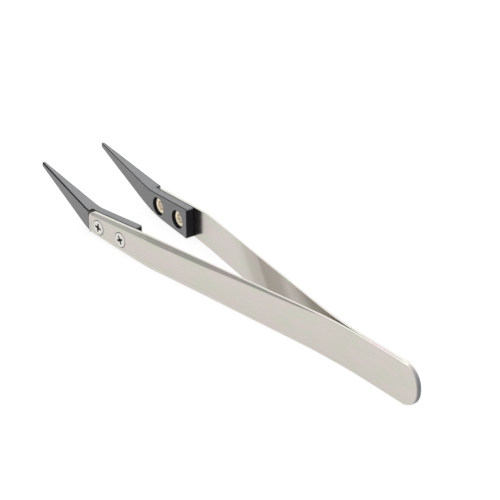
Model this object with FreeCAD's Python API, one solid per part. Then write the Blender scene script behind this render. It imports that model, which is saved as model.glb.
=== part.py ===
import FreeCAD, Part
import math
import os

# Precision tweezers with replaceable tips: two spring arms of flat stainless strip, welded together
# over the heel, and an angled black tip screwed to the inner face of each arm.
# Millimetres. +X runs from the heel to the points, +Z up, and the left arm is on +Y.
# The tweezers stand on the lower edges of the arms, at Z = 0. The origin is under the middle of
# their bounding box. Most shapes are drawn from the rear end (X = 0) and moved at the end.

# ---- driving dimensions -------------------------------------------------------------------------
TOTAL_LENGTH = 130.0        # heel end to points
REAR_WIDTH = 10.5           # height of the strip at the heel
REAR_THICKNESS = 0.7        # strip thickness over the heel and its flexing root
FRONT_THICKNESS = 1.2       # strip thickness where the tip is screwed on

# Plan of an arm's inner face, as (length, turn in degrees) from the rear end. Turn 0 is straight.
WELD_LENGTH = 19.0
PLAN = (
    (WELD_LENGTH, 0.0),     # heel, welded to the other arm
    (16.0, 7.9),            # root, curving away from the mid plane
    (49.0, 0.0),            # finger length
    (7.3, -4.9),            # curving back
    (17.3, 0.0),            # flat seat of the tip
)
FLEX_STATION = 27.0         # middle of the flexing root, where the arm is cut into heel and blade
FLEX_GAP = 0.10

# Side view of an arm
KNEE_TO_FRONT = 21.3        # length of the tapered front stretch
KNEE_TOP = 8.52             # upper edge at the knee
FRONT_TOP = 6.38            # upper edge at the front end
FRONT_BOTTOM = 0.72         # lower edge at the front end
FRONT_CORNER = 1.8          # radius of the upper front corner
HEEL_TOP_RADIUS = 4.65
HEEL_BOTTOM_RADIUS = 4.7
HEEL_RISE = 0.5             # lower edge at the heel end: it comes down to 0 at the flexing root
HEEL_ROUND = 0.5            # rounding of the outer edge round the heel end

# Bevel ground along the outer long edges, as (station, height). It is half as deep as it is high.
BEVELS = (
    (28.0, -0.05), (38.0, 0.5), (56.0, 0.8), (70.0, 1.2), (84.0, 1.25),
    (86.5, 1.2), (89.0, 1.15), (91.3, 1.1), (110.0, 0.85),
)
BEVEL_SLANT = (0.447, 0.894)

# Tip: a block seated inside the arm, and a beak in front of the arm's end
BLOCK_LENGTH = 16.35
BLOCK_THICKNESS = 2.2
SHOULDER_GAP = 0.10         # between the arm's end and the beak's shoulder
BEAK_TOP = 10.12            # upper side of the point
BEAK_BOTTOM = 9.00          # lower side of the point
POINT_THICKNESS = 0.7
TOP_KNEE_RADIUS = 14.0
BOTTOM_KNEE_RADIUS = 32.0
BOTTOM_KNEE_BACK = 1.0      # lower knee, behind the arm's end

# M2 countersunk screw and round nut, two of each in a tip
SCREW_BACKS = {"front": 3.8, "rear": 12.2}      # behind the arm's end
SCREW_HEIGHTS = {"front": 3.45, "rear": 3.6}     # above the standing plane
SCREW_TURNS = {"front": -8.0, "rear": 25.0}     # how far each cross is turned, degrees
SHANK_DIAMETER = 1.96
HEAD_DIAMETER = 3.6
HEAD_PROUD = 0.12           # head's face above the arm's outer face
HEAD_RIM = 0.22             # straight rim of the head, above its cone
SCREW_END = 2.6             # depth of the screw's end below the arm's outer face
SCREW_CHAMFER = 0.25
CROSS_SPAN = 2.2
CROSS_WIDTH = 0.5
CROSS_DEPTH = 0.75
COUNTERSINK_DIAMETER = 3.8
ARM_HOLE_DIAMETER = 2.2
BLOCK_HOLE_DIAMETER = 2.3
NUT_DIAMETER = 4.4
NUT_BORE = 2.0
NUT_THICKNESS = 1.0
NUT_CHAMFER = 0.15
NUT_RECESS = 0.65           # nut face below the tip's inner face
NUT_POCKET_DIAMETER = 4.6

TALL = 40.0                 # longer than anything is wide: used for cutting prisms

UP = FreeCAD.Vector(0, 0, 1)


# ---- plan curve ---------------------------------------------------------------------------------
def plan_stations():
    """Arc lengths at which the plan changes from straight to curved or back."""
    stations = [0.0]
    for length, _turn in PLAN:
        stations.append(stations[-1] + length)
    return stations


def plan_pose(station):
    """Position and heading (radians) of the left arm's inner face at an arc length."""
    x = 0.0
    y = 0.0
    heading = 0.0
    left = station
    for length, turn in PLAN:
        run = min(left, length)
        swing = math.radians(turn) * run / length
        chord = run if abs(swing) < 1e-9 else run * math.sin(swing / 2) / (swing / 2)
        x += chord * math.cos(heading + swing / 2)
        y += chord * math.sin(heading + swing / 2)
        heading += swing
        left -= run
        if left <= 1e-9:
            break
    return x, y, heading


def thickness_at(station):
    """The strip thickens steadily along its finger length."""
    stations = plan_stations()
    share = (station - stations[2]) / (stations[3] - stations[2])
    share = min(max(share, 0.0), 1.0)
    return REAR_THICKNESS + share * (FRONT_THICKNESS - REAR_THICKNESS)


def plan_point(station, outward):
    """A point of the plan, outward from the inner face."""
    x, y, heading = plan_pose(station)
    return FreeCAD.Vector(x - outward * math.sin(heading), y + outward * math.cos(heading), 0)


def plan_edge(start, end, offset):
    """The edge of the plan between two stations, offset(station) outward from the inner face."""
    ends = [plan_point(s, offset(s)) for s in (start, end)]
    middle = (start + end) / 2
    halfway = plan_point(middle, offset(middle))
    if halfway.distanceToLineSegment(ends[0], ends[1]).Length < 1e-6:
        return Part.makeLine(ends[0], ends[1])
    return Part.Arc(ends[0], halfway, ends[1]).toShape()


def strip(start, end):
    """The plan outline of the strip between two stations, as a tall prism."""
    stops = [start] + [s for s in plan_stations() if start < s < end] + [end]
    spans = list(zip(stops, stops[1:]))
    edges = [plan_edge(a, b, lambda s: 0.0) for a, b in spans]
    edges.append(Part.makeLine(plan_point(end, 0), plan_point(end, thickness_at(end))))
    edges += [plan_edge(b, a, thickness_at) for a, b in reversed(spans)]
    edges.append(Part.makeLine(plan_point(start, thickness_at(start)), plan_point(start, 0)))
    return prism(edges, -TALL / 2, UP)


def prism(edges, low, direction):
    """A solid whose section is the closed outline, from low along direction, TALL long."""
    face = Part.Face(Part.Wire(Part.__sortEdges__(edges)))
    face.translate(direction * low)
    return face.extrude(direction * TALL)


# ---- outlines with rounded corners --------------------------------------------------------------
def rounded_outline(corners, place):
    """Edges of a closed outline. corners holds (across, up, radius); place makes a 3-D point."""
    count = len(corners)
    points = [FreeCAD.Vector(c[0], c[1], 0) for c in corners]
    ends = []
    for i in range(count):
        before = (points[i - 1] - points[i]).normalize()
        after = (points[(i + 1) % count] - points[i]).normalize()
        radius = corners[i][2]
        half = before.getAngle(after) / 2
        back = radius / math.tan(half)
        middle = (before + after).normalize() * (radius / math.sin(half) - radius) if radius else UP * 0
        ends.append((points[i] + before * back, points[i] + middle, points[i] + after * back))
    edges = []
    for i in range(count):
        start, middle, end = (place(p.x, p.y) for p in ends[i])
        if corners[i][2]:
            edges.append(Part.Arc(start, middle, end).toShape())
        following = ends[(i + 1) % count][0]
        edges.append(Part.makeLine(end, place(following.x, following.y)))
    return edges


def side_point(x, z):
    return FreeCAD.Vector(x, 0, z)


# ---- the arms -----------------------------------------------------------------------------------
def blade_side():
    """The blade seen from the side, as a prism across the tweezers."""
    front = ARM_END[0] + FRONT_THICKNESS
    knee = ARM_END[0] - KNEE_TO_FRONT
    past_end = (front - knee) / KNEE_TO_FRONT
    corners = (
        (0.0, 0.0, 0.0),
        (knee, 0.0, 0.0),
        (front, FRONT_BOTTOM * past_end, 0.0),
        (front, KNEE_TOP + (FRONT_TOP - KNEE_TOP) * past_end, 0.0),
        (knee, KNEE_TOP, 0.0),
        (0.0, REAR_WIDTH, 0.0),
    )
    return prism(rounded_outline(corners, side_point), -TALL / 2, FreeCAD.Vector(0, 1, 0))


def heel_section(shift, across):
    """Side outline of the heel with its end moved forward by shift along its long edges."""
    front = FLEX_STATION + 3.0
    corners = (
        (shift, HEEL_RISE * (1 - shift / FLEX_STATION), HEEL_BOTTOM_RADIUS),
        (front, HEEL_RISE * (1 - front / FLEX_STATION), 0.0),
        (front, edge_height(front, True), 0.0),
        (shift, edge_height(shift, True), HEEL_TOP_RADIUS),
    )
    edges = rounded_outline(corners, lambda x, z: FreeCAD.Vector(x, across, z))
    return Part.Wire(Part.__sortEdges__(edges))


def heel_layers():
    """The heel's side view as three solids across the tweezers: straight, rounded round its end, straight."""
    sections = []
    for step in range(7):
        turn = math.radians(15 * step)
        shift = HEEL_ROUND * (1 - math.cos(turn))
        across = REAR_THICKNESS - HEEL_ROUND * (1 - math.sin(turn))
        sections.append(heel_section(shift, across))
    inside = Part.Face(sections[0]).extrude(FreeCAD.Vector(0, -TALL / 2, 0))
    outside = Part.Face(sections[-1]).extrude(FreeCAD.Vector(0, TALL / 2, 0))
    return [inside, Part.makeLoft(sections, True, False), outside]


def seat_frame(along, outward, height):
    """A point on the tip's seat: along the heading from the arm's end, and outward of the seat."""
    x, y, heading = ARM_END
    return FreeCAD.Vector(
        x + along * math.cos(heading) - outward * math.sin(heading),
        y + along * math.sin(heading) + outward * math.cos(heading),
        height,
    )


def outward_normal():
    return seat_frame(0, 1, 0) - seat_frame(0, 0, 0)


def screw_holes():
    """The two countersunk screw holes of the blade, as solids to cut away."""
    cutters = []
    inward = outward_normal() * -1
    depth = (COUNTERSINK_DIAMETER - ARM_HOLE_DIAMETER) / 2
    for name, back in SCREW_BACKS.items():
        face = seat_frame(-back, FRONT_THICKNESS, SCREW_HEIGHTS[name])
        cone = Part.makeCone(COUNTERSINK_DIAMETER / 2, ARM_HOLE_DIAMETER / 2, depth, face, inward)
        shaft = Part.makeCylinder(ARM_HOLE_DIAMETER / 2, FRONT_THICKNESS * 2, face, inward)
        cutters.append(cone.fuse(shaft))
    return cutters


def edge_height(x, upper):
    """Height of an arm's upper or lower long edge."""
    knee = ARM_END[0] - KNEE_TO_FRONT
    if x < knee:
        return REAR_WIDTH + (KNEE_TOP - REAR_WIDTH) * x / knee if upper else 0.0
    share = (x - knee) / KNEE_TO_FRONT
    return KNEE_TOP + (FRONT_TOP - KNEE_TOP) * share if upper else FRONT_BOTTOM * share


def bevel_section(station, height, upper):
    """Triangle that is cut from the outer long edge at a station."""
    margin = 0.6
    side = 1 if upper else -1
    outward = thickness_at(station)
    shallow = outward - height / 2 - BEVEL_SLANT[0] * margin
    deep = outward + BEVEL_SLANT[0] * margin
    edge = edge_height(plan_point(station, outward).x, upper)
    rise = margin * BEVEL_SLANT[1]
    corners = (
        (shallow, edge + side * rise),
        (deep, edge - side * (height + rise)),
        (deep, edge + side * rise),
    )
    points = [plan_point(station, v) + UP * z for v, z in corners]
    return Part.makePolygon(points + points[:1])


def long_bevels():
    """The bevels of the upper and lower outer edges, as solids to cut away."""
    cutters = []
    for upper in (True, False):
        sections = [bevel_section(station, height, upper) for station, height in BEVELS]
        cutters.append(Part.makeLoft(sections, True, True))
    return cutters


def make_heel():
    """Rear part of an arm: the welded heel and the first half of the flexing root."""
    plan = strip(0.0, FLEX_STATION - FLEX_GAP / 2)
    layers = [plan.common(layer) for layer in heel_layers()]
    return layers[0].fuse(layers[1:]).removeSplitter()


def make_blade():
    """The rest of the arm, with its front corner, its bevels and its two countersunk holes."""
    blade = strip(FLEX_STATION + FLEX_GAP / 2, plan_stations()[-1]).common(blade_side())
    corner = [edge for edge in blade.Edges if is_upper_front_corner(edge)]
    blade = blade.makeFillet(FRONT_CORNER, corner)
    return blade.cut(long_bevels() + screw_holes())


def is_upper_front_corner(edge):
    """True for the short edge across the strip at its upper front corner."""
    low = edge.BoundBox
    across = low.XLength < FRONT_THICKNESS and low.ZLength < 0.2
    return across and low.XMin > ARM_END[0] - 1.0 and low.ZMin > FRONT_TOP / 2 and low.YLength > 1.0


# ---- the tips -----------------------------------------------------------------------------------
def make_tip():
    """Block and beak, drawn flat on the seat and then turned to its heading."""
    reach = (TOTAL_LENGTH - ARM_END[0]) / math.cos(ARM_END[2]) - BLOCK_THICKNESS * math.tan(ARM_END[2])
    slope_top = (FRONT_TOP - KNEE_TOP) / KNEE_TO_FRONT
    slope_bottom = FRONT_BOTTOM / KNEE_TO_FRONT
    knee_z = FRONT_BOTTOM - slope_bottom * BOTTOM_KNEE_BACK
    side = (
        (-BLOCK_LENGTH, FRONT_BOTTOM - slope_bottom * BLOCK_LENGTH, 0.0),
        (-BOTTOM_KNEE_BACK, knee_z, BOTTOM_KNEE_RADIUS),
        (reach, BEAK_BOTTOM, 0.0),
        (reach, BEAK_TOP, 0.0),
        (0.0, FRONT_TOP, TOP_KNEE_RADIUS),
        (-BLOCK_LENGTH, FRONT_TOP - slope_top * BLOCK_LENGTH, 0.0),
    )
    plan = (
        (-BLOCK_LENGTH, -BLOCK_THICKNESS, 0.0),
        (reach, -BLOCK_THICKNESS, 0.0),
        (reach, POINT_THICKNESS - BLOCK_THICKNESS, 0.0),
        (SHOULDER_GAP, FRONT_THICKNESS, 0.0),
        (SHOULDER_GAP, 0.0, 0.0),
        (-BLOCK_LENGTH, 0.0, 0.0),
    )
    from_side = prism(rounded_outline(side, side_point), -TALL / 2, FreeCAD.Vector(0, 1, 0))
    from_above = prism(rounded_outline(plan, lambda u, v: FreeCAD.Vector(u, v, 0)), -TALL / 2, UP)
    tip = from_side.common(from_above)
    tip.rotate(FreeCAD.Vector(0, 0, 0), UP, math.degrees(ARM_END[2]))
    tip.translate(FreeCAD.Vector(ARM_END[0], ARM_END[1], 0))
    pocket_depth = NUT_RECESS + NUT_THICKNESS
    for name, back in SCREW_BACKS.items():
        face = seat_frame(-back, -BLOCK_THICKNESS, SCREW_HEIGHTS[name])
        pocket = Part.makeCylinder(NUT_POCKET_DIAMETER / 2, pocket_depth, face, outward_normal())
        hole = Part.makeCylinder(BLOCK_HOLE_DIAMETER / 2, BLOCK_THICKNESS, face, outward_normal())
        tip = tip.cut(pocket.fuse(hole))
    return tip


# ---- screws and nuts ----------------------------------------------------------------------------
def turned(profile):
    """A solid of revolution about Z from (radius, height) corners that start and end on the axis."""
    points = [FreeCAD.Vector(r, 0, h) for r, h in profile]
    face = Part.Face(Part.makePolygon(points + points[:1]))
    return face.revolve(FreeCAD.Vector(0, 0, 0), UP, 360)


def make_screw(name):
    """Countersunk screw with a cross recess, its head at the arm's outer face."""
    head = HEAD_DIAMETER / 2
    shank = SHANK_DIAMETER / 2
    cone_start = HEAD_RIM - HEAD_PROUD
    cone_end = cone_start + head - shank
    screw = turned((
        (0.0, HEAD_PROUD),
        (head, HEAD_PROUD),
        (head, -cone_start),
        (shank, -cone_end),
        (shank, -SCREW_END + SCREW_CHAMFER),
        (shank - SCREW_CHAMFER, -SCREW_END),
        (0.0, -SCREW_END),
    ))
    for turn in (0, 90):
        slot = Part.makeBox(CROSS_SPAN, CROSS_WIDTH, CROSS_DEPTH)
        slot.translate(FreeCAD.Vector(-CROSS_SPAN / 2, -CROSS_WIDTH / 2, HEAD_PROUD - CROSS_DEPTH))
        slot.rotate(FreeCAD.Vector(0, 0, 0), UP, turn + SCREW_TURNS[name])
        screw = screw.cut(slot)
    return set_in_arm(screw, name, FRONT_THICKNESS)


def make_nut(name):
    """Round nut with chamfered rims, in its pocket in the tip's inner face."""
    rim = NUT_DIAMETER / 2
    bore = NUT_BORE / 2
    nut = turned((
        (bore, NUT_CHAMFER),
        (bore + NUT_CHAMFER, 0.0),
        (rim - NUT_CHAMFER, 0.0),
        (rim, NUT_CHAMFER),
        (rim, NUT_THICKNESS),
        (bore, NUT_THICKNESS),
    ))
    return set_in_arm(nut, name, NUT_RECESS - BLOCK_THICKNESS)


def set_in_arm(piece, name, outward):
    """Turns a piece drawn about +Z so that +Z is the outward normal, and puts it at its screw hole."""
    piece.Placement = FreeCAD.Placement(
        seat_frame(-SCREW_BACKS[name], outward, SCREW_HEIGHTS[name]),
        FreeCAD.Rotation(UP, outward_normal()),
    ).multiply(piece.Placement)
    return piece


# ---- assembly -----------------------------------------------------------------------------------
def check_one_solid(name, shape):
    """Each file holds one valid solid."""
    assert len(shape.Solids) == 1 and shape.isValid(), name
    solid = shape.Solids[0]
    print(f"{name}: {solid.Volume:.2f} mm3")
    return solid


ARM_END = plan_pose(plan_stations()[-1])

os.makedirs("parts", exist_ok=True)
pieces = {"arm_heel": make_heel(), "arm_blade": make_blade(), "tip": make_tip()}
for place_name in SCREW_BACKS:
    pieces["screw_" + place_name] = make_screw(place_name)
    pieces["nut_" + place_name] = make_nut(place_name)

for piece_name, left_shape in pieces.items():
    left_shape.translate(FreeCAD.Vector(-TOTAL_LENGTH / 2, 0, 0))
    right_shape = left_shape.mirror(FreeCAD.Vector(0, 0, 0), FreeCAD.Vector(0, 1, 0))
    for side_name, shape in (("left", left_shape), ("right", right_shape)):
        node = side_name + "_" + piece_name
        check_one_solid(node, shape).exportStep(f"parts/{node}.step")
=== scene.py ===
import math

import bmesh
import bpy
from mathutils import Matrix, Vector


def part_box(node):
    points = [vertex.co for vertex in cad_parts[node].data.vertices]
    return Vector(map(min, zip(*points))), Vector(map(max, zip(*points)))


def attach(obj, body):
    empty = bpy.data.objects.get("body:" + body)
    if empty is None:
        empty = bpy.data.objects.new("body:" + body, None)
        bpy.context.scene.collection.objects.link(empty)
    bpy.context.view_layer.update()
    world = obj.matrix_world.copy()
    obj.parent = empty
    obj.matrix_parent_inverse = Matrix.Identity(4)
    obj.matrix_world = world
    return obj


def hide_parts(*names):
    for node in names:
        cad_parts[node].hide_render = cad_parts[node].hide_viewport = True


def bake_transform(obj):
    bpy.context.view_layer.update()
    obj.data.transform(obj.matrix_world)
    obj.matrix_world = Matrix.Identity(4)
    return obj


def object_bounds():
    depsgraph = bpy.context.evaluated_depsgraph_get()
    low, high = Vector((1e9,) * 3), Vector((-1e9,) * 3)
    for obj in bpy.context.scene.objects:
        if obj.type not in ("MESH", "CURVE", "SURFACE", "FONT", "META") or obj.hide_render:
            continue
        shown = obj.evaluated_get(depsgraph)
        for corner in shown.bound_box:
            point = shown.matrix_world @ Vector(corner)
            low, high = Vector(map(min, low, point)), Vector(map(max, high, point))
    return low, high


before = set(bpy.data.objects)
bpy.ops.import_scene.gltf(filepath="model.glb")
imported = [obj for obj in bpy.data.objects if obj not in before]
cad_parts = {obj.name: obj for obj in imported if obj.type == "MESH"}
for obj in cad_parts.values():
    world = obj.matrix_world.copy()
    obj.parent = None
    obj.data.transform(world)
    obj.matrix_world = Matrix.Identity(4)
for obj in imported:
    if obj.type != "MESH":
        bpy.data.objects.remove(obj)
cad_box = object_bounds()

# Precision tweezers: two spring arms of stainless strip, welded together over the heel, with an
# angled black tip screwed to the inner face of each. Shapes are drawn in millimetres from the heel's
# rear end (X = 0), with the left arm on +Y, and turned into the frame's metres when a mesh is made.
MM = 0.001

# ---- sizes taken from the frame -----------------------------------------------------------------
REAR_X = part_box("left_arm_heel")[0].x / MM
TOTAL_LENGTH = (cad_box[1].x - cad_box[0].x) / MM
BEAK_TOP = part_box("left_tip")[1].z / MM

# ---- the arms -----------------------------------------------------------------------------------
REAR_WIDTH = 10.5           # height at the heel's end, before its corner is rounded
REAR_THICKNESS = 0.7
FRONT_THICKNESS = 1.2
WELD_LENGTH = 19.0
# Plan of an arm's inner face, as (length, turn in degrees) from the rear end
PLAN = ((WELD_LENGTH, 0.0), (16.0, 7.9), (49.0, 0.0), (7.3, -4.9), (17.3, 0.0))
KNEE_TO_FRONT = 21.3
KNEE_TOP = 8.52
FRONT_TOP = 6.38
FRONT_BOTTOM = 0.72
FRONT_TOP_RADIUS = 1.8
FRONT_BOTTOM_RADIUS = 0.25
FIRST_STATION = 6.0         # first column of the rim in front of the heel's corners
HEEL_TOP_RADIUS = 4.65
HEEL_BOTTOM_RADIUS = 4.7
HEEL_RISE = 0.5             # lower edge at the heel end, which comes down to 0 at the flexing root
HEEL_RISE_LENGTH = 27.0
HEEL_ROUND = 0.5            # rounding of the outer edge round the heel end
# Ground bevel of the outer long edges, as (station, height). It is half as deep as it is high.
BEVELS = ((0.0, 0.0), (28.0, 0.0), (38.0, 0.5), (56.0, 0.8), (70.0, 1.2), (84.0, 1.25), (91.3, 1.1),
          (110.0, 0.85))
ARM_ARRIS = 0.10

# ---- the tips, along their seat from the arm's end ----------------------------------------------
BLOCK_LENGTH = 16.35
BLOCK_THICKNESS = 2.2
SHOULDER_GAP = 0.10
BEAK_HEIGHT = 1.12
POINT_THICKNESS = 0.7
TOP_KNEE_RADIUS = 14.0
BOTTOM_KNEE_RADIUS = 32.0
BOTTOM_KNEE_BACK = 1.0
TIP_ARRIS = 0.14
SHOULDER_EDGE = 0.16        # rounding of the shoulder's outer edge
POINT_RADIUS = 0.24
BLOCK_CORNER = 0.3

# ---- screws and nuts ----------------------------------------------------------------------------
SCREWS = (
    ("front", 3.8, 3.45, -8.0),         # name, behind the arm's end, height, turn of the cross
    ("rear", 12.2, 3.6, 25.0),
)
HEAD_RADIUS = 1.8
HEAD_PROUD = 0.12
HEAD_RIM = 0.22
SHANK_RADIUS = 0.98
SCREW_END = 2.6
COUNTERSINK_RADIUS = 1.9
COUNTERSINK_BREAK = 0.05    # broken rim of the countersink
ARM_HOLE_RADIUS = 1.1
BLOCK_HOLE_RADIUS = 1.15
NUT_RADIUS = 2.2
NUT_BORE = 1.0
NUT_THICKNESS = 1.0
NUT_RECESS = 0.65
POCKET_RADIUS = 2.3
POCKET_BREAK = 0.06         # broken rim of the nut's pocket
CROSS_SPAN = 2.2
CROSS_WIDTH = 0.5
CROSS_DEPTH = 0.75
THREAD_PITCH = 0.4
THREAD_DEPTH = 0.07
DIMPLE_RADIUS = 0.32        # centre mark in the screw's end
TURNED_STEPS = 72
OVERSHOOT = 0.5             # how far a hole's cutter stands out of the face
MARGIN = 0.01               # added where faces are told apart by their place

# Which of a piece's materials a face has
OUTER = 0
INNER_FACE = 1
REAR_FACE = 2
# The last material paints shade: in holes and recesses, and on the tips' arrises.
PAINTED_SHADE = 3
FLAT_OF_RIM = 2             # which strip of the rim's profile is its flat

ARC_STEPS = 10
ROUNDING_STEPS = 5
SMOOTH_ANGLE = math.radians(38)


# ---- plan curve ---------------------------------------------------------------------------------
def plan_pose(station):
    """Position and heading of the left arm's inner face at an arc length."""
    x = 0.0
    y = 0.0
    heading = 0.0
    left = station
    for length, turn in PLAN:
        run = min(left, length)
        swing = math.radians(turn) * run / length
        chord = run if abs(swing) < 1e-9 else run * math.sin(swing / 2) / (swing / 2)
        x += chord * math.cos(heading + swing / 2)
        y += chord * math.sin(heading + swing / 2)
        heading += swing
        left -= run
        if left <= 1e-9:
            break
    return x, y, heading


ARM_LENGTH = sum(length for length, _turn in PLAN)
ARM_END = plan_pose(ARM_LENGTH)
STRAIGHT_FROM = PLAN[0][0] + PLAN[1][0]
STRAIGHT_TO = STRAIGHT_FROM + PLAN[2][0]
SEAT_FROM = STRAIGHT_TO + PLAN[3][0]


def in_arm(station, outward, z):
    """A point of the left arm, outward from its inner face."""
    x, y, heading = plan_pose(station)
    return Vector((x - outward * math.sin(heading), y + outward * math.cos(heading), z))


def in_seat(along, outward, z):
    """A point of the left tip: along its seat from the arm's end, and outward of the seat."""
    x, y, heading = ARM_END
    return Vector((
        x + along * math.cos(heading) - outward * math.sin(heading),
        y + along * math.sin(heading) + outward * math.cos(heading),
        z,
    ))


def interpolate(table, x):
    """Straight-line value of a table of (x, value) rows."""
    for (x0, v0), (x1, v1) in zip(table, table[1:]):
        if x <= x1:
            return v0 + (v1 - v0) * max(x - x0, 0.0) / (x1 - x0)
    return table[-1][1]


def arm_thickness(station):
    """Strip thickness: even up to the end of the root, then growing to the end of the straight."""
    return interpolate(((0.0, REAR_THICKNESS), (STRAIGHT_FROM, REAR_THICKNESS),
                        (STRAIGHT_TO, FRONT_THICKNESS)), station)


# ---- edges seen from the side -------------------------------------------------------------------
def arm_edge(side):
    """Height of the arm's upper (1) or lower (-1) long edge at a station."""
    knee = ARM_END[0] - KNEE_TO_FRONT
    upper = ((0.0, REAR_WIDTH), (knee, KNEE_TOP), (ARM_END[0], FRONT_TOP))
    lower = ((0.0, HEEL_RISE), (HEEL_RISE_LENGTH, 0.0), (knee, 0.0), (ARM_END[0], FRONT_BOTTOM))
    return lambda station: interpolate(upper if side > 0 else lower, plan_pose(station)[0])


def tip_reach():
    """Length of the beak along the seat, so that the points end at the total length."""
    return (TOTAL_LENGTH - ARM_END[0]) / math.cos(ARM_END[2]) - BLOCK_THICKNESS * math.tan(ARM_END[2])


def tip_edge(side):
    """Height of the tip's upper or lower edge, with its knee rounded by a tangent arc."""
    if side > 0:
        rear_slope = (FRONT_TOP - KNEE_TOP) / KNEE_TO_FRONT
        knee_x, knee_z, radius, front_z = 0.0, FRONT_TOP, TOP_KNEE_RADIUS, BEAK_TOP
    else:
        rear_slope = FRONT_BOTTOM / KNEE_TO_FRONT
        knee_x, radius, front_z = -BOTTOM_KNEE_BACK, BOTTOM_KNEE_RADIUS, BEAK_TOP - BEAK_HEIGHT
        knee_z = FRONT_BOTTOM + rear_slope * knee_x
    front_slope = (front_z - knee_z) / (tip_reach() - knee_x)
    half_turn = (math.atan(front_slope) - math.atan(rear_slope)) / 2
    tangent = radius * math.tan(half_turn)
    start = knee_x - tangent * math.cos(math.atan(rear_slope))
    stop = knee_x + tangent * math.cos(math.atan(front_slope))
    centre_x = start - radius * math.sin(math.atan(rear_slope))
    centre_z = knee_z + rear_slope * (start - knee_x) + radius * math.cos(math.atan(rear_slope))

    def edge(x):
        if x <= start:
            return knee_z + rear_slope * (x - knee_x)
        if x >= stop:
            return knee_z + front_slope * (x - knee_x)
        return centre_z - math.sqrt(radius ** 2 - (x - centre_x) ** 2)
    return edge


def rim_columns(edge, side, stops, rear, front):
    """(x, z, normal x, normal z, thickness, rounding) from rear to front along an upper or lower edge.

    stops are (x, thickness) rows between the two corners. rear is (x, radius, rounding of its outer
    edge) and front is (x, radius)."""
    rows = []
    rear_x, rear_radius, rounding = rear
    centre_z = edge(rear_x + rear_radius) - side * rear_radius
    for step in range(ARC_STEPS):
        turn = math.radians(90 * step / ARC_STEPS)
        rows.append((rear_x + rear_radius * (1 - math.cos(turn)),
                     centre_z + side * rear_radius * math.sin(turn),
                     -math.cos(turn), side * math.sin(turn), stops[0][1], rounding))
    for x, thickness in stops:
        slope = (edge(x + 0.05) - edge(x - 0.05)) / 0.1
        size = math.hypot(1.0, slope)
        rows.append((x, edge(x), -side * slope / size, side / size, thickness, 0.0))
    front_x, front_radius = front
    centre_z = edge(front_x - front_radius) - side * front_radius
    for step in range(1, ARC_STEPS + 1):
        turn = math.radians(90 * step / ARC_STEPS)
        rows.append((front_x - front_radius * (1 - math.sin(turn)),
                     centre_z + side * front_radius * math.cos(turn),
                     math.sin(turn), side * math.cos(turn), stops[-1][1], 0.0))
    return rows


def arris(corner, before, after, size):
    """Three points that round a corner of the rim's profile, as rim_profile gives them."""
    def towards(other):
        gap = math.hypot(other[0] - corner[0], other[1] - corner[1])
        share = min(size / gap, 0.45)
        return [corner[k] + (other[k] - corner[k]) * share for k in (0, 1)]
    first = towards(before)
    last = towards(after)
    middle = [0.25 * first[k] + 0.5 * corner[k] + 0.25 * last[k] for k in (0, 1)]
    return [(*first, 0.0, 0.0), (*middle, 0.0, 1.0), (*last, 0.0, 0.0)]


def rim_profile(inner, outer, bevel, size, rounding):
    """Profile of the rim from the inner face to the outer, each (outward, inset, shift, arris mark).

    The outer edge has a bevel of that height, or it is rounded by a shift forward."""
    depth = max(bevel / 2, size)
    bevel = max(bevel, size)
    inside = (inner, size * 6)
    corners = [inside, (inner, 0.0), (outer - depth, 0.0), (outer, bevel), (outer, bevel + size * 6)]
    points = []
    for before, corner, after in zip(corners, corners[1:], corners[2:]):
        points += arris(corner, before, after, size)
    if rounding:
        points = points[:3]
        for step in range(ROUNDING_STEPS + 1):
            turn = math.radians(90 * step / ROUNDING_STEPS)
            inward = rounding * (1 - math.sin(turn))
            forward = rounding * (1 - math.cos(turn))
            points.append((outer - inward, 0.0, forward, 0.0))
    return points


def plate(name, top, bottom, inner, bevel_at, size, place, arris_index):
    """A closed plate between two faces. Its rim goes along the top columns and back by the bottom ones.

    The inner side, the rear end and the arrises (arris_index) get materials of their own."""
    ring = list(top) + list(reversed(bottom))
    mesh = bmesh.new()
    grain = mesh.loops.layers.uv.new("grain")
    marks = mesh.loops.layers.uv.new("marks")
    columns = []
    facts = {}
    for x, z, normal_x, normal_z, outer, rounding in ring:
        column = []
        profile = rim_profile(inner, outer, bevel_at(x, z, normal_z), size, rounding)
        for outward, inset, shift, mark in profile:
            along = x - normal_x * inset + shift
            height = z - normal_z * inset
            vertex = mesh.verts.new(place(along, outward, height))
            facing = -normal_x * (1.0 - shift / rounding) if rounding else -normal_x
            facts[vertex] = ((along, height + outward), mark, facing)
            column.append(vertex)
        columns.append(column)
    count = len(columns)
    depth = len(columns[0])
    faces = []
    for i in range(count):
        here = columns[i]
        there = columns[(i + 1) % count]
        for j in range(depth - 1):
            face = mesh.faces.new((here[j], there[j], there[j + 1], here[j + 1]))
            face.material_index = OUTER if j == FLAT_OF_RIM else arris_index
            faces.append((face, True))
    faces[(count - 1) * (depth - 1) + FLAT_OF_RIM][0].material_index = REAR_FACE
    half = count // 2
    for i in range(half - 1):
        for j in (0, depth - 1):
            ends = (i, i + 1, count - 2 - i, count - 1 - i)
            face = mesh.faces.new([columns[k][j] for k in ends])
            face.material_index = INNER_FACE if j == 0 else OUTER
            faces.append((face, False))
    for face, on_rim in faces:
        for loop in face.loops:
            spot, mark, rearward = facts[loop.vert]
            loop[grain].uv = spot
            # These marks say where shade is painted: on the arrises, and on rim faces that face rearward.
            loop[marks].uv = (mark, max(rearward, 0.0) if on_rim else 0.0)
    bmesh.ops.remove_doubles(mesh, verts=mesh.verts, dist=1e-5)
    bmesh.ops.recalc_face_normals(mesh, faces=mesh.faces)
    return as_object(name, mesh)


def as_object(name, mesh):
    """Makes the mesh an object of the scene."""
    data = bpy.data.meshes.new(name)
    mesh.to_mesh(data)
    mesh.free()
    made = bpy.data.objects.new(name, data)
    bpy.context.scene.collection.objects.link(made)
    return made


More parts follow.
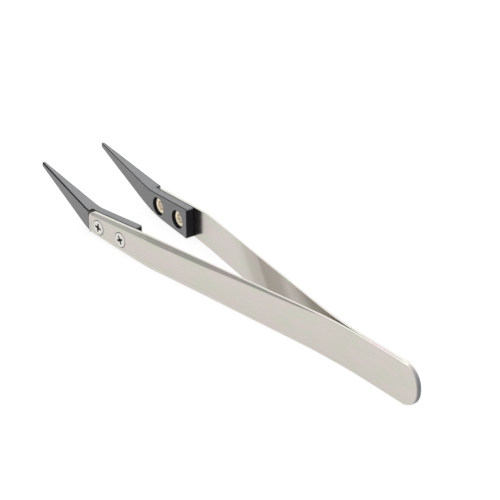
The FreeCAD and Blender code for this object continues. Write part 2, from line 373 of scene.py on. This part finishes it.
# ---- turned pieces ------------------------------------------------------------------------------
def turned(name, profile, closed=False):
    """A piece turned about its Z axis from (radius, height) points.

    An open profile starts and ends on the axis."""
    mesh = bmesh.new()
    grain = mesh.loops.layers.uv.new("grain")
    mesh.loops.layers.uv.new("marks")
    rings = []
    for radius, height in profile:
        if radius < 1e-6:
            rings.append([mesh.verts.new((0.0, 0.0, height))])
            continue
        turns = [2 * math.pi * k / TURNED_STEPS for k in range(TURNED_STEPS)]
        rings.append([mesh.verts.new((radius * math.cos(a), radius * math.sin(a), height)) for a in turns])
    pairs = list(zip(rings, rings[1:]))
    if closed:
        pairs.append((rings[-1], rings[0]))
    for here, there in pairs:
        for k in range(TURNED_STEPS):
            following = (k + 1) % TURNED_STEPS
            corners = [here[k % len(here)], there[k % len(there)],
                       there[following % len(there)], here[following % len(here)]]
            mesh.faces.new(list(dict.fromkeys(corners)))
    bmesh.ops.recalc_face_normals(mesh, faces=mesh.faces)
    for face in mesh.faces:
        for loop in face.loops:
            spot = loop.vert.co
            loop[grain].uv = (math.hypot(spot.x, spot.y), spot.z)
    return as_object(name, mesh)


def seat_matrix(back, outward, height):
    """Puts a piece drawn about +Z at a screw hole, with +Z along the arm's outward normal."""
    normal = in_seat(0, 1, 0) - in_seat(0, 0, 0)
    across = Vector((0, 0, 1)).cross(normal)
    turn = Matrix((across, Vector((0, 0, 1)), normal)).transposed().to_4x4()
    return Matrix.Translation(in_seat(-back, outward, height)) @ turn


def cut(piece, cutters):
    """Cuts the cutters out of the piece, and removes them."""
    for cutter in cutters:
        modifier = piece.modifiers.new("cut", "BOOLEAN")
        modifier.operation = "DIFFERENCE"
        modifier.solver = "EXACT"
        modifier.object = cutter
    graph = bpy.context.evaluated_depsgraph_get()
    result = bpy.data.meshes.new_from_object(piece.evaluated_get(graph))
    piece.modifiers.clear()
    piece.data = result
    for cutter in cutters:
        bpy.data.objects.remove(cutter)


def mark_faces(piece, index, where):
    """Gives the faces whose centre is where() the piece's material index."""
    for face in piece.data.polygons:
        if where(face.center):
            face.material_index = index


def mark_holes(piece, outward, sign, radius):
    """Gives the walls of the screw holes, below the face at outward, the material that paints shade into
    them.
    """
    for _name, back, height, _turn in SCREWS:
        to_hole = seat_matrix(back, outward, height).inverted()

        def inside(p, to_hole=to_hole):
            spot = to_hole @ p
            return math.hypot(spot.x, spot.y) < radius and spot.z * sign < -0.02
        mark_faces(piece, PAINTED_SHADE, inside)


def cross_recess(turn):
    """The cross recess of a screw head, as a cutter that tapers with its depth."""
    mesh = bmesh.new()
    # (height, share of the span, share of the width)
    levels = ((0.4, 1.0, 1.0), (HEAD_PROUD, 1.0, 1.0), (HEAD_PROUD - CROSS_DEPTH, 0.5, 0.62))
    rings = []
    for z, span_share, width_share in levels:
        span = CROSS_SPAN / 2 * span_share
        width = CROSS_WIDTH / 2 * width_share
        web = width * 1.45
        quarter = ((span, -width), (span, width), (web * 1.25, width), (width, web * 1.25))
        ring = []
        for k in range(4):
            spin = math.radians(90 * k + turn)
            for x, y in quarter:
                spun_x = x * math.cos(spin) - y * math.sin(spin)
                spun_y = x * math.sin(spin) + y * math.cos(spin)
                ring.append(mesh.verts.new((spun_x, spun_y, z)))
        rings.append(ring)
    count = len(rings[0])
    for low, high in zip(rings, rings[1:]):
        for k in range(count):
            mesh.faces.new((low[k], low[(k + 1) % count], high[(k + 1) % count], high[k]))
    mesh.faces.new(rings[0])
    mesh.faces.new(rings[-1])
    bmesh.ops.recalc_face_normals(mesh, faces=mesh.faces)
    return as_object("cutter", mesh)


def make_screw(name, turn):
    """Countersunk screw, its cone and its shank with thread grooves, and a cross recess."""
    cone_start = HEAD_RIM - HEAD_PROUD
    cone_end = cone_start + HEAD_RADIUS - SHANK_RADIUS
    profile = [
        (0.0, HEAD_PROUD),
        (HEAD_RADIUS - 0.10, HEAD_PROUD),
        (HEAD_RADIUS - 0.03, HEAD_PROUD - 0.02),
        (HEAD_RADIUS, HEAD_PROUD - 0.07),
        (HEAD_RADIUS, -cone_start),
        (SHANK_RADIUS, -cone_end),
    ]
    depth = cone_end + 0.1
    while depth + THREAD_PITCH < SCREW_END - 0.2:
        profile += [
            (SHANK_RADIUS, -depth),
            (SHANK_RADIUS - THREAD_DEPTH, -depth - THREAD_PITCH * 0.45),
            (SHANK_RADIUS, -depth - THREAD_PITCH * 0.9),
        ]
        depth += THREAD_PITCH
    profile += [
        (SHANK_RADIUS, -SCREW_END + 0.2),
        (SHANK_RADIUS - 0.2, -SCREW_END),
        (DIMPLE_RADIUS, -SCREW_END),
        (0.0, -SCREW_END + DIMPLE_RADIUS),
    ]
    screw = turned(name, profile)
    cut(screw, [cross_recess(turn)])

    def in_cross(p):
        if math.hypot(p.x, p.y) >= CROSS_SPAN / 2 + MARGIN:
            return False
        return -cone_start - CROSS_DEPTH < p.z < HEAD_PROUD - MARGIN

    # Painted shade in the cross recess.
    mark_faces(screw, PAINTED_SHADE, in_cross)
    mark_faces(screw, INNER_FACE, lambda p: p.z < -SCREW_END + THREAD_PITCH)
    return screw


def make_nut(name):
    """Round nut with rounded rims and a chamfered bore."""
    face = NUT_RECESS - BLOCK_THICKNESS
    base = face + NUT_THICKNESS
    profile = (
        (NUT_BORE, face + 0.22),
        (NUT_BORE + 0.05, face + 0.10),
        (NUT_BORE + 0.20, face),
        (NUT_RADIUS - 0.16, face),
        (NUT_RADIUS - 0.05, face + 0.05),
        (NUT_RADIUS, face + 0.16),
        (NUT_RADIUS, base),
        (NUT_BORE, base),
    )
    return turned(name, profile, closed=True)


def countersink():
    """Cutter for a screw hole in the arm, with a slightly broken rim."""
    depth = COUNTERSINK_RADIUS - ARM_HOLE_RADIUS
    rim = COUNTERSINK_RADIUS + COUNTERSINK_BREAK
    through = -3.0
    return turned("cutter", (
        (0.0, OVERSHOOT),
        (rim, OVERSHOOT),
        (rim, 0.0),
        (COUNTERSINK_RADIUS, -COUNTERSINK_BREAK),
        (ARM_HOLE_RADIUS, -COUNTERSINK_BREAK - depth),
        (ARM_HOLE_RADIUS, through),
        (0.0, through),
    ))


def nut_pocket():
    """Cutter for the nut's pocket and the screw hole, from the tip's inner face at height 0."""
    floor = NUT_RECESS + NUT_THICKNESS
    rim = POCKET_RADIUS + POCKET_BREAK
    through = 4.0
    return turned("cutter", (
        (0.0, -OVERSHOOT),
        (rim, -OVERSHOOT),
        (rim, 0.0),
        (POCKET_RADIUS, POCKET_BREAK),
        (POCKET_RADIUS, floor),
        (BLOCK_HOLE_RADIUS, floor),
        (BLOCK_HOLE_RADIUS, through),
        (0.0, through),
    ))


# ---- the pieces of the left side ----------------------------------------------------------------
def span(start, stop, step):
    """Evenly spaced values from start to stop, about step apart."""
    count = max(1, round((stop - start) / step))
    return [start + (stop - start) * k / count for k in range(count + 1)]


def make_arm(name):
    """One continuous spring arm, heel to front end."""
    knee = next(s for s in span(80.0, 92.0, 0.01) if plan_pose(s)[0] >= ARM_END[0] - KNEE_TO_FRONT)
    # (station, spacing of the columns up to it): they are closer where the arm curves
    runs = (
        (WELD_LENGTH, 3.2),
        (STRAIGHT_FROM, 1.0),
        (STRAIGHT_TO, 4.9),
        (SEAT_FROM, 0.8),
        (ARM_LENGTH - FRONT_TOP_RADIUS - 0.3, 2.5),
    )
    stations = [FIRST_STATION]
    for stop, step in runs:
        stations += span(stations[-1], stop, step)[1:]
    stations = sorted(stations + [knee - 0.3, knee + 0.3])
    stops = [(s, arm_thickness(s)) for s in stations]
    edges = {side: arm_edge(side) for side in (1, -1)}
    corner_radii = (
        (1, HEEL_TOP_RADIUS, FRONT_TOP_RADIUS),
        (-1, HEEL_BOTTOM_RADIUS, FRONT_BOTTOM_RADIUS),
    )
    rows = {}
    for side, rear, front in corner_radii:
        rows[side] = rim_columns(edges[side], side, stops, (0.0, rear, HEEL_ROUND), (ARM_LENGTH, front))

    def bevel_at(station, z, normal_z):
        side = 1 if normal_z >= 0 else -1
        return max(0.0, interpolate(BEVELS, station) - side * (edges[side](station) - z)) * abs(normal_z)

    arm = plate(name, rows[1], rows[-1], 0.0, bevel_at, ARM_ARRIS, in_arm, OUTER)
    holes = []
    for _name, back, height, _turn in SCREWS:
        hole = countersink()
        hole.data.transform(seat_matrix(back, FRONT_THICKNESS, height))
        holes.append(hole)
    cut(arm, holes)
    # Painted shade on the countersink walls.
    mark_holes(arm, FRONT_THICKNESS, 1, COUNTERSINK_RADIUS + COUNTERSINK_BREAK + MARGIN)
    return arm


def make_tip(name):
    """Block and beak in one piece, with two nut pockets."""
    reach = tip_reach()
    shoulder = SHOULDER_GAP
    outer_end = POINT_THICKNESS - BLOCK_THICKNESS

    def beak_outer(x):
        return FRONT_THICKNESS + (outer_end - FRONT_THICKNESS) * (x - shoulder) / (reach - shoulder)

    rear = -BLOCK_LENGTH
    stops = [(x, 0.0) for x in span(rear + BLOCK_CORNER + 0.2, shoulder, 0.8)]
    stops += [
        (shoulder + 0.001, beak_outer(shoulder) - SHOULDER_EDGE),
        (shoulder + 0.05, beak_outer(shoulder) - 0.05),
        (shoulder + SHOULDER_EDGE, beak_outer(shoulder + SHOULDER_EDGE)),
    ]
    stops += [(x, beak_outer(x)) for x in span(shoulder + 0.8, reach - POINT_RADIUS - 0.1, 0.8)]
    rows = {}
    block_end = (rear, BLOCK_CORNER, 0.0)
    point_end = (reach, POINT_RADIUS)
    for side in (1, -1):
        rows[side] = rim_columns(tip_edge(side), side, stops, block_end, point_end)

    def no_bevel(_x, _z, _normal_z):
        return 0.0

    # The tip's arrises get the painted-shade material.
    tip = plate(name, rows[1], rows[-1], -BLOCK_THICKNESS, no_bevel, TIP_ARRIS, in_seat, PAINTED_SHADE)
    holes = []
    for _name, back, height, _turn in SCREWS:
        hole = nut_pocket()
        hole.data.transform(seat_matrix(back, -BLOCK_THICKNESS, height))
        holes.append(hole)
    cut(tip, holes)
    # Painted shade on the walls of the nut pockets.
    mark_holes(tip, -BLOCK_THICKNESS, -1, POCKET_RADIUS + MARGIN)
    return tip


def finish_surface(piece, materials):
    """Smooth shading with flat faces kept flat, and the piece's materials."""
    indices = [face.material_index for face in piece.data.polygons]
    piece.data.materials.clear()
    for material in materials:
        piece.data.materials.append(material)
    piece.data.polygons.foreach_set("material_index", indices)
    piece.data.shade_smooth()
    piece.data.set_sharp_from_angle(angle=SMOOTH_ANGLE)
    weighted = piece.modifiers.new("even_shading", "WEIGHTED_NORMAL")
    weighted.keep_sharp = True


def into_frame(piece, side):
    """Turns millimetres from the heel's end into the frame's metres, mirrored for the right side."""
    mirror = Matrix.Scale(side, 4, (0, 1, 0))
    move = Matrix.Translation((REAR_X * MM, 0, 0))
    piece.data.transform(move @ mirror @ Matrix.Scale(MM, 4))
    if side < 0:
        piece.data.flip_normals()


# ---- materials ----------------------------------------------------------------------------------
# Painted reflection on the inner faces: a brownish zone, as (station at the height below, share of brown)
PAINTED_REFLECTION = ((30.0, 0.30), (44.0, 0.30), (49.0, 0.24), (53.0, 0.50), (61.5, 0.58), (63.0, 0.34), (68.5, 0.26),
        (71.0, 0.08), (75.0, 0.0))
PAINTED_REFLECTION_HEIGHT = 8.25          # millimetres above the standing plane
PAINTED_REFLECTION_SLOPE = 0.8            # how far the zone's lines lean back for each millimetre down
PAINTED_REFLECTION_SPAN = 100.0           # length that the colour ramp covers


class Nodes:
    """A material's node tree, built by short calls."""

    def __init__(self, name):
        self.material = bpy.data.materials.new(name)
        self.material.use_nodes = True
        self.tree = self.material.node_tree
        self.shader = self.tree.nodes["Principled BSDF"]

    def add(self, kind, links=None, **settings):
        """A node with properties or input values set by name, and inputs linked from sockets."""
        node = self.tree.nodes.new(kind)
        for key, value in settings.items():
            if hasattr(node, key):
                setattr(node, key, value)
            else:
                node.inputs[key.replace("_", " ")].default_value = value
        for key, socket in (links or {}).items():
            self.tree.links.new(socket, node.inputs[key])
        return node

    def coordinates(self, scale):
        """The piece's grain coordinates, in millimetres, stretched by scale."""
        source = self.add("ShaderNodeUVMap", uv_map="grain")
        mapping = self.add("ShaderNodeMapping", {"Vector": source.outputs["UV"]})
        mapping.inputs["Scale"].default_value = scale
        return mapping.outputs["Vector"]

    def noise(self, scale, detail=4.0, roughness=0.55):
        """Noise in the grain coordinates, 0 to 1."""
        node = self.add("ShaderNodeTexNoise", {"Vector": self.coordinates(scale)},
                        Scale=1.0, Detail=detail, Roughness=roughness)
        return node.outputs["Fac"]

    def ranged(self, socket, low, high, start=0.35, stop=0.65):
        """The value carried from start..stop to low..high."""
        node = self.add("ShaderNodeMapRange", {"Value": socket})
        for key, value in (("From Min", start), ("From Max", stop), ("To Min", low), ("To Max", high)):
            node.inputs[key].default_value = value
        return node.outputs["Result"]

    def along_arm(self, table):
        """Straight-line value of (station, value) rows, on lines that lean back towards the lower edge."""
        source = self.add("ShaderNodeUVMap", uv_map="grain")
        lean = self.add("ShaderNodeVectorMath", {0: source.outputs["UV"]}, operation="DOT_PRODUCT")
        lean.inputs[1].default_value = (1 / PAINTED_REFLECTION_SPAN, -PAINTED_REFLECTION_SLOPE / PAINTED_REFLECTION_SPAN, 0.0)
        ramp = self.add("ShaderNodeValToRGB", {"Fac": lean.outputs["Value"]})
        elements = ramp.color_ramp.elements
        while len(elements) < len(table):
            elements.new(1.0)
        for element, (station, value) in zip(elements, table):
            element.position = (station - PAINTED_REFLECTION_SLOPE * PAINTED_REFLECTION_HEIGHT) / PAINTED_REFLECTION_SPAN
            element.color = (value, value, value, 1.0)
        return ramp.outputs["Color"]

    def mix(self, factor, first, second):
        """Two colours, or a socket and a colour, mixed by a socket."""
        node = self.add("ShaderNodeMix", data_type="RGBA")
        self.tree.links.new(factor, node.inputs["Factor"])
        for key, value in ((6, first), (7, second)):
            if isinstance(value, tuple):
                node.inputs[key].default_value = (*value, 1.0)
            else:
                self.tree.links.new(value, node.inputs[key])
        return node.outputs[2]

    def marks(self):
        """Where shade is painted: (arris mark, rearward rim mark) of the surface."""
        source = self.add("ShaderNodeUVMap", uv_map="marks")
        split = self.add("ShaderNodeSeparateXYZ", {"Vector": source.outputs["UV"]})
        return split.outputs["X"], split.outputs["Y"]

    def bump(self, height, strength, distance, under=None):
        """A bumped normal, on top of the bump under it."""
        node = self.add("ShaderNodeBump", {"Height": height}, Strength=strength, Distance=distance)
        if under is not None:
            self.tree.links.new(under, node.inputs["Normal"])
        return node.outputs["Normal"]

    def connect(self, **sockets):
        """Links sockets to the shader's inputs by name."""
        for key, socket in sockets.items():
            self.tree.links.new(socket, self.shader.inputs[key.replace("_", " ")])

    def constants(self, **values):
        """Sets the shader's own inputs by name."""
        for key, value in values.items():
            self.shader.inputs[key.replace("_", " ")].default_value = value


def brushed_steel(name, roughness, painted_reflection):
    """Satin stainless strip: grain along the arm, soft warm and cool blotches, and painted shade on the
    rim round the heel's end.

    The last argument has (station, share) rows of how brown the painted reflection makes the surface along
    the arm."""
    n = Nodes(name)
    blotch = n.noise((0.11, 0.30, 1.0), detail=2.0)
    streak = n.noise((0.06, 4.5, 1.0), detail=3.0)
    fine = n.noise((0.5, 22.0, 1.0), detail=5.0)
    wear = n.noise((1.2, 3.0, 1.0), detail=6.0, roughness=0.7)
    _arris_shade, rear_shade = n.marks()
    colour = n.mix(n.ranged(blotch, 0.0, 1.0), (0.565, 0.565, 0.485), (0.620, 0.550, 0.530))
    colour = n.mix(n.ranged(streak, 0.0, 0.30), colour, (0.65, 0.63, 0.59))
    colour = n.mix(n.ranged(wear, 0.0, 0.20, 0.62, 0.75), colour, (0.48, 0.47, 0.45))
    if painted_reflection:
        # Painted reflection: a brown zone mixed into the inner faces along the arm.
        colour = n.mix(n.along_arm(painted_reflection), colour, (0.120, 0.085, 0.040))
    # Painted shade: rim faces that face rearward, round the heel's end, are darkened.
    rim = n.ranged(rear_shade, 0.0, 1.0, 0.25, 0.85)
    colour = n.mix(rim, colour, (0.20, 0.20, 0.21))
    n.connect(Base_Color=colour, Roughness=n.ranged(fine, roughness, roughness + 0.08))
    n.connect(Normal=n.bump(fine, 0.25, 0.000008, n.bump(streak, 0.2, 0.00002)))
    n.constants(Metallic=1.0)
    return n.material


def black_ceramic():
    """Dense black ceramic: ground faces with fine lengthwise lines, and painted shade that darkens the
    arrises; the rear face gets the painted-shade ceramic.
    """
    n = Nodes("black_ceramic")
    grain = n.noise((0.9, 9.0, 1.0), detail=5.0, roughness=0.7)
    speck = n.noise((9.0, 9.0, 1.0), detail=3.0)
    cloud = n.noise((0.25, 0.5, 1.0), detail=3.0)
    arris_shade, _rear_shade = n.marks()
    colour = n.mix(n.ranged(grain, 0.0, 1.0), (0.034, 0.034, 0.035), (0.100, 0.100, 0.097))
    colour = n.mix(n.ranged(speck, 0.0, 0.6, 0.5, 0.7), colour, (0.130, 0.130, 0.126))
    colour = n.mix(n.ranged(cloud, 0.0, 0.5), colour, (0.048, 0.049, 0.047))
    # Painted shade: the arrises are darkened to near black.
    dark = n.ranged(arris_shade, 0.0, 0.85, 0.1, 0.8)
    colour = n.mix(dark, colour, (0.010, 0.010, 0.011))
    n.connect(Base_Color=colour, Roughness=n.ranged(speck, 0.34, 0.50))
    n.connect(Normal=n.bump(speck, 0.30, 0.00002, n.bump(grain, 0.40, 0.00003)))
    n.constants(Metallic=0.0, IOR=2.15)
    return n.material


def painted_shade_surface(name, light, dark, metallic, specular):
    """Matt, mottled and nearly black: painted shade for rear faces, arrises, and the walls of holes and
    recesses.
    """
    n = Nodes(name)
    mottle = n.noise((2.2, 2.2, 1.0), detail=5.0)
    colour = n.mix(n.ranged(mottle, 0.0, 1.0), dark, light)
    n.connect(Base_Color=colour, Roughness=n.ranged(mottle, 0.55, 0.75))
    n.connect(Normal=n.bump(mottle, 0.3, 0.00003))
    n.constants(Metallic=metallic, Specular_IOR_Level=specular)
    return n.material


def turned_metal(name, dark, light, roughness):
    """Metal with the fine rings that a lathe leaves, and a little tarnish."""
    n = Nodes(name)
    rings = n.noise((16.0, 5.0, 1.0), detail=4.0, roughness=0.6)
    tarnish = n.noise((1.3, 1.7, 1.0), detail=4.0)
    colour = n.mix(n.ranged(tarnish, 0.0, 1.0), dark, light)
    n.connect(Base_Color=colour, Roughness=n.ranged(rings, roughness, roughness + 0.14))
    n.connect(Normal=n.bump(rings, 0.35, 0.00002))
    n.constants(Metallic=1.0)
    return n.material


# ---- assembly -----------------------------------------------------------------------------------
outer_steel = brushed_steel("brushed_stainless", 0.20, ())
# The inner faces carry the painted brown reflection.
inner_steel = brushed_steel("rolled_stainless", 0.14, PAINTED_REFLECTION)
ceramic = black_ceramic()
# Painted shade: near-black ceramic for the tips' rear faces, arrises and pockets, and dark steel for
# countersinks and cross recesses.
shade_ceramic = painted_shade_surface("painted_shade_ceramic", (0.010, 0.010, 0.013), (0.005, 0.005, 0.007), 0.0, 0.18)
shade_steel = painted_shade_surface("painted_shade_steel", (0.10, 0.09, 0.08), (0.05, 0.045, 0.04), 0.6, 0.3)
screw_metal = turned_metal("screw_steel", (0.62, 0.60, 0.56), (0.74, 0.73, 0.70), 0.18)
screw_end_metal = turned_metal("screw_end_steel", (0.50, 0.40, 0.29), (0.66, 0.57, 0.45), 0.30)
brass_metal = turned_metal("pale_brass", (0.76, 0.62, 0.42), (0.88, 0.79, 0.62), 0.20)

# The fourth material of each piece paints shade; the tips' third one, for their rear faces, does too.
arm_materials = (outer_steel, inner_steel, outer_steel, shade_steel)
tip_materials = (ceramic, ceramic, shade_ceramic, shade_ceramic)
screw_materials = (screw_metal, screw_end_metal, screw_metal, shade_steel)

for side_name, side in (("left", 1), ("right", -1)):
    body = side_name + "_side"
    arm = make_arm(side_name + "_spring_arm")
    into_frame(arm, side)
    finish_surface(arm, arm_materials)
    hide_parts(side_name + "_arm_heel", side_name + "_arm_blade")
    bend_from = in_arm(WELD_LENGTH, 0, 0)
    bend_to = in_arm(STRAIGHT_FROM, 0, 0)
    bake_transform(arm)

    tip = make_tip(side_name + "_angled_tip")
    into_frame(tip, side)
    finish_surface(tip, tip_materials)
    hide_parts(side_name + "_tip")
    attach(tip, body)

    for place_name, back, height, turn in SCREWS:
        screw = make_screw(f"{side_name}_countersunk_screw_{place_name}", turn)
        screw.data.transform(seat_matrix(back, FRONT_THICKNESS, height))
        into_frame(screw, side)
        finish_surface(screw, screw_materials)
        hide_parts(f"{side_name}_screw_{place_name}")
        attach(screw, body)
        nut = make_nut(f"{side_name}_round_nut_{place_name}")
        nut.data.transform(seat_matrix(back, 0.0, height))
        into_frame(nut, side)
        finish_surface(nut, (brass_metal,))
        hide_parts(f"{side_name}_nut_{place_name}")
        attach(nut, body)


# ---- floor, light and camera --------------------------------------------------------------------
def make_floor():
    """A plain pale floor."""
    mesh = bmesh.new()
    half_size = 2.5
    corners = ((-1, -1), (1, -1), (1, 1), (-1, 1))
    mesh.faces.new([mesh.verts.new((x * half_size, y * half_size, 0.0)) for x, y in corners])
    floor = as_object("floor", mesh)
    n = Nodes("pale_floor")
    n.constants(Base_Color=(0.18, 0.18, 0.18, 1.0), Roughness=0.9, Specular_IOR_Level=0.0)
    n.constants(Emission_Color=(1.0, 1.0, 1.0, 1.0), Emission_Strength=0.84)
    floor.data.materials.append(n.material)


def make_world():
    """Soft white surroundings with one darker side, as a dark wall of a studio gives."""
    world = bpy.data.worlds.new("studio")
    bpy.context.scene.world = world
    world.use_nodes = True
    tree = world.node_tree
    background = tree.nodes["Background"]
    direction = tree.nodes.new("ShaderNodeTexCoord")
    dot = tree.nodes.new("ShaderNodeVectorMath")
    dot.operation = "DOT_PRODUCT"
    dot.inputs[1].default_value = Vector((0.48, 0.86, 0.22)).normalized()
    ramp = tree.nodes.new("ShaderNodeMapRange")
    for key, value in (("From Min", 0.80), ("From Max", 0.99), ("To Min", 1.3), ("To Max", 0.50)):
        ramp.inputs[key].default_value = value
    tree.links.new(direction.outputs["Generated"], dot.inputs[0])
    tree.links.new(dot.outputs["Value"], ramp.inputs["Value"])
    tree.links.new(ramp.outputs["Result"], background.inputs["Strength"])
    background.inputs["Color"].default_value = (0.97, 0.98, 1.0, 1.0)


def add_light(name, position, target, size, power):
    """A round area light that points at the target."""
    light = bpy.data.lights.new(name, "AREA")
    light.shape = "DISK"
    light.size = size
    light.energy = power
    holder = bpy.data.objects.new(name, light)
    holder.location = position
    holder.rotation_mode = "QUATERNION"
    holder.rotation_quaternion = (Vector(target) - Vector(position)).to_track_quat("-Z", "Y")
    bpy.context.scene.collection.objects.link(holder)


def make_camera():
    """Long lens from the left rear, looking down at the tweezers."""
    azimuth = math.radians(232.59)
    elevation = math.radians(28.77)
    centre = Vector((-5.0, 0.0, 5.0)) * MM
    distance = 0.5667
    shift_right = -0.000829
    shift_up = -0.007176
    back = Vector((
        math.sin(azimuth) * math.cos(elevation),
        -math.cos(azimuth) * math.cos(elevation),
        math.sin(elevation),
    ))
    right = Vector((0, 0, 1)).cross(back).normalized()
    up = back.cross(right)
    data = bpy.data.cameras.new("camera")
    data.sensor_width = 36.0
    data.lens = 180.0
    data.clip_start = 0.01
    data.clip_end = 20.0
    camera = bpy.data.objects.new("camera", data)
    place = centre + back * distance - right * shift_right - up * shift_up
    camera.matrix_world = Matrix.Translation(place) @ Matrix((right, up, back)).transposed().to_4x4()
    bpy.context.scene.collection.objects.link(camera)
    bpy.context.scene.camera = camera


make_floor()
make_world()
add_light("key", (0.38, -0.36, 0.62), (0, 0, 0), 0.30, 0.30)
make_camera()
bpy.context.scene.view_settings.view_transform = "Standard"
